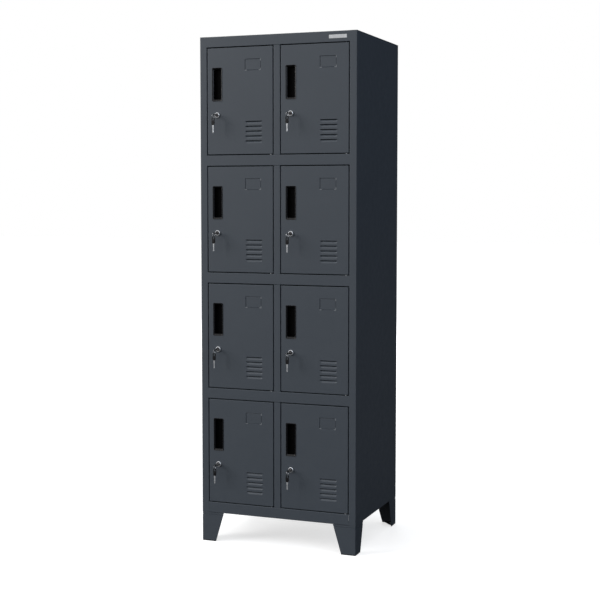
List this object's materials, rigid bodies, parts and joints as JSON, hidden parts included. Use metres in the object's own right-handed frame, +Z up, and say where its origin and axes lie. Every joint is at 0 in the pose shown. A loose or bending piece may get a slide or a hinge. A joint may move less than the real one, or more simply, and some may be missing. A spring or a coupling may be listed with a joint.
{
  "type": "locker cabinet",
  "caption": "Tall freestanding steel locker cabinet with two columns of hinged lockable doors, recessed handles, louvres and tapered folded legs.",
  "frame": {"origin": "on the floor under the middle of the whole object's box, with the keys that stand out from the doors counted in", "axes": "+X to the right as seen from the front, +Y from the doors to the back, +Z up"},
  "size_m": [0.6, 0.5354, 1.85],
  "materials": {
    "body_paint": "satin anthracite powder coat with a fine orange-peel texture",
    "black_plastic": "matt black moulded plastic",
    "key_plastic": "black key bow on a nickel-plated blade",
    "chrome": "bright chrome plate",
    "steel": "bright zinc-plated steel"
  },
  "bodies": {
    "cabinet": {"left_side_panel": "body_paint", "right_side_panel": "body_paint", "top_panel": "body_paint", "base_panel": "body_paint", "back_panel": "body_paint", "centre_partition": "body_paint", "front_frame": "body_paint", "shelves": "body_paint", "legs": "body_paint", "foot_glides": "black_plastic", "hinge_pins": "steel", "leg_fasteners": "steel"},
    "door_1_left": {"door_1_left": "body_paint", "handle_cup_1_left": "black_plastic", "lock_barrel_1_left": "chrome"},
    "lock_1_left": {"lock_cam_1_left": "steel"},
    "key_1_left": {"key_1_left": "key_plastic"},
    "spare_1_left": {"spare_key_1_left": "key_plastic"},
    "door_1_right": {"door_1_right": "body_paint", "handle_cup_1_right": "black_plastic", "lock_barrel_1_right": "chrome"},
    "lock_1_right": {"lock_cam_1_right": "steel"},
    "key_1_right": {"key_1_right": "key_plastic"},
    "spare_1_right": {"spare_key_1_right": "key_plastic"},
    "door_2_left": {"door_2_left": "body_paint", "handle_cup_2_left": "black_plastic", "lock_barrel_2_left": "chrome"},
    "lock_2_left": {"lock_cam_2_left": "steel"},
    "key_2_left": {"key_2_left": "key_plastic"},
    "spare_2_left": {"spare_key_2_left": "key_plastic"},
    "door_2_right": {"door_2_right": "body_paint", "handle_cup_2_right": "black_plastic", "lock_barrel_2_right": "chrome"},
    "lock_2_right": {"lock_cam_2_right": "steel"},
    "key_2_right": {"key_2_right": "key_plastic"},
    "spare_2_right": {"spare_key_2_right": "key_plastic"},
    "door_3_left": {"door_3_left": "body_paint", "handle_cup_3_left": "black_plastic", "lock_barrel_3_left": "chrome"},
    "lock_3_left": {"lock_cam_3_left": "steel"},
    "key_3_left": {"key_3_left": "key_plastic"},
    "spare_3_left": {"spare_key_3_left": "key_plastic"},
    "door_3_right": {"door_3_right": "body_paint", "handle_cup_3_right": "black_plastic", "lock_barrel_3_right": "chrome"},
    "lock_3_right": {"lock_cam_3_right": "steel"},
    "key_3_right": {"key_3_right": "key_plastic"},
    "spare_3_right": {"spare_key_3_right": "key_plastic"},
    "door_4_left": {"door_4_left": "body_paint", "handle_cup_4_left": "black_plastic", "lock_barrel_4_left": "chrome"},
    "lock_4_left": {"lock_cam_4_left": "steel"},
    "key_4_left": {"key_4_left": "key_plastic"},
    "spare_4_left": {"spare_key_4_left": "key_plastic"},
    "door_4_right": {"door_4_right": "body_paint", "handle_cup_4_right": "black_plastic", "lock_barrel_4_right": "chrome"},
    "lock_4_right": {"lock_cam_4_right": "steel"},
    "key_4_right": {"key_4_right": "key_plastic"},
    "spare_4_right": {"spare_key_4_right": "key_plastic"}
  },
  "joints": [
    {"name": "door_1_left_hinge", "type": "hinge", "parent": "cabinet", "child": "door_1_left", "pos_m": [-0.0255, -0.2153, 1.61813], "axis": [0, 0, 1], "range_deg": [0, 110]},
    {"name": "lock_1_left_turn", "type": "hinge", "parent": "door_1_left", "child": "lock_1_left", "pos_m": [-0.2325, -0.2223, 1.569], "axis": [0, 1, 0], "range_deg": [0, 90]},
    {"name": "key_1_left_pull", "type": "slide", "parent": "lock_1_left", "child": "key_1_left", "axis": [0, -1, 0], "range_m": [0, 0.019]},
    {"name": "spare_1_left_swing", "type": "hinge", "parent": "key_1_left", "child": "spare_1_left", "pos_m": [-0.2325, -0.2587, 1.569], "axis": [0, 1, 0], "range_deg": [-30, 30]},
    {"name": "door_1_right_hinge", "type": "hinge", "parent": "cabinet", "child": "door_1_right", "pos_m": [0.2605, -0.2153, 1.61813], "axis": [0, 0, 1], "range_deg": [0, 110]},
    {"name": "lock_1_right_turn", "type": "hinge", "parent": "door_1_right", "child": "lock_1_right", "pos_m": [0.0535, -0.2223, 1.569], "axis": [0, 1, 0], "range_deg": [0, 90]},
    {"name": "key_1_right_pull", "type": "slide", "parent": "lock_1_right", "child": "key_1_right", "axis": [0, -1, 0], "range_m": [0, 0.019]},
    {"name": "spare_1_right_swing", "type": "hinge", "parent": "key_1_right", "child": "spare_1_right", "pos_m": [0.0535, -0.2587, 1.569], "axis": [0, 1, 0], "range_deg": [-30, 30]},
    {"name": "door_2_left_hinge", "type": "hinge", "parent": "cabinet", "child": "door_2_left", "pos_m": [-0.0255, -0.2153, 1.19237], "axis": [0, 0, 1], "range_deg": [0, 110]},
    {"name": "lock_2_left_turn", "type": "hinge", "parent": "door_2_left", "child": "lock_2_left", "pos_m": [-0.2325, -0.2223, 1.14325], "axis": [0, 1, 0], "range_deg": [0, 90]},
    {"name": "key_2_left_pull", "type": "slide", "parent": "lock_2_left", "child": "key_2_left", "axis": [0, -1, 0], "range_m": [0, 0.019]},
    {"name": "spare_2_left_swing", "type": "hinge", "parent": "key_2_left", "child": "spare_2_left", "pos_m": [-0.2325, -0.2587, 1.14325], "axis": [0, 1, 0], "range_deg": [-30, 30]},
    {"name": "door_2_right_hinge", "type": "hinge", "parent": "cabinet", "child": "door_2_right", "pos_m": [0.2605, -0.2153, 1.19237], "axis": [0, 0, 1], "range_deg": [0, 110]},
    {"name": "lock_2_right_turn", "type": "hinge", "parent": "door_2_right", "child": "lock_2_right", "pos_m": [0.0535, -0.2223, 1.14325], "axis": [0, 1, 0], "range_deg": [0, 90]},
    {"name": "key_2_right_pull", "type": "slide", "parent": "lock_2_right", "child": "key_2_right", "axis": [0, -1, 0], "range_m": [0, 0.019]},
    {"name": "spare_2_right_swing", "type": "hinge", "parent": "key_2_right", "child": "spare_2_right", "pos_m": [0.0535, -0.2587, 1.14325], "axis": [0, 1, 0], "range_deg": [-30, 30]},
    {"name": "door_3_left_hinge", "type": "hinge", "parent": "cabinet", "child": "door_3_left", "pos_m": [-0.0255, -0.2153, 0.76663], "axis": [0, 0, 1], "range_deg": [0, 110]},
    {"name": "lock_3_left_turn", "type": "hinge", "parent": "door_3_left", "child": "lock_3_left", "pos_m": [-0.2325, -0.2223, 0.7175], "axis": [0, 1, 0], "range_deg": [0, 90]},
    {"name": "key_3_left_pull", "type": "slide", "parent": "lock_3_left", "child": "key_3_left", "axis": [0, -1, 0], "range_m": [0, 0.019]},
    {"name": "spare_3_left_swing", "type": "hinge", "parent": "key_3_left", "child": "spare_3_left", "pos_m": [-0.2325, -0.2587, 0.7175], "axis": [0, 1, 0], "range_deg": [-30, 30]},
    {"name": "door_3_right_hinge", "type": "hinge", "parent": "cabinet", "child": "door_3_right", "pos_m": [0.2605, -0.2153, 0.76663], "axis": [0, 0, 1], "range_deg": [0, 110]},
    {"name": "lock_3_right_turn", "type": "hinge", "parent": "door_3_right", "child": "lock_3_right", "pos_m": [0.0535, -0.2223, 0.7175], "axis": [0, 1, 0], "range_deg": [0, 90]},
    {"name": "key_3_right_pull", "type": "slide", "parent": "lock_3_right", "child": "key_3_right", "axis": [0, -1, 0], "range_m": [0, 0.019]},
    {"name": "spare_3_right_swing", "type": "hinge", "parent": "key_3_right", "child": "spare_3_right", "pos_m": [0.0535, -0.2587, 0.7175], "axis": [0, 1, 0], "range_deg": [-30, 30]},
    {"name": "door_4_left_hinge", "type": "hinge", "parent": "cabinet", "child": "door_4_left", "pos_m": [-0.0255, -0.2153, 0.34087], "axis": [0, 0, 1], "range_deg": [0, 110]},
    {"name": "lock_4_left_turn", "type": "hinge", "parent": "door_4_left", "child": "lock_4_left", "pos_m": [-0.2325, -0.2223, 0.29175], "axis": [0, 1, 0], "range_deg": [0, 90]},
    {"name": "key_4_left_pull", "type": "slide", "parent": "lock_4_left", "child": "key_4_left", "axis": [0, -1, 0], "range_m": [0, 0.019]},
    {"name": "spare_4_left_swing", "type": "hinge", "parent": "key_4_left", "child": "spare_4_left", "pos_m": [-0.2325, -0.2587, 0.29175], "axis": [0, 1, 0], "range_deg": [-30, 30]},
    {"name": "door_4_right_hinge", "type": "hinge", "parent": "cabinet", "child": "door_4_right", "pos_m": [0.2605, -0.2153, 0.34087], "axis": [0, 0, 1], "range_deg": [0, 110]},
    {"name": "lock_4_right_turn", "type": "hinge", "parent": "door_4_right", "child": "lock_4_right", "pos_m": [0.0535, -0.2223, 0.29175], "axis": [0, 1, 0], "range_deg": [0, 90]},
    {"name": "key_4_right_pull", "type": "slide", "parent": "lock_4_right", "child": "key_4_right", "axis": [0, -1, 0], "range_m": [0, 0.019]},
    {"name": "spare_4_right_swing", "type": "hinge", "parent": "key_4_right", "child": "spare_4_right", "pos_m": [0.0535, -0.2587, 0.29175], "axis": [0, 1, 0], "range_deg": [-30, 30]}
  ]
}
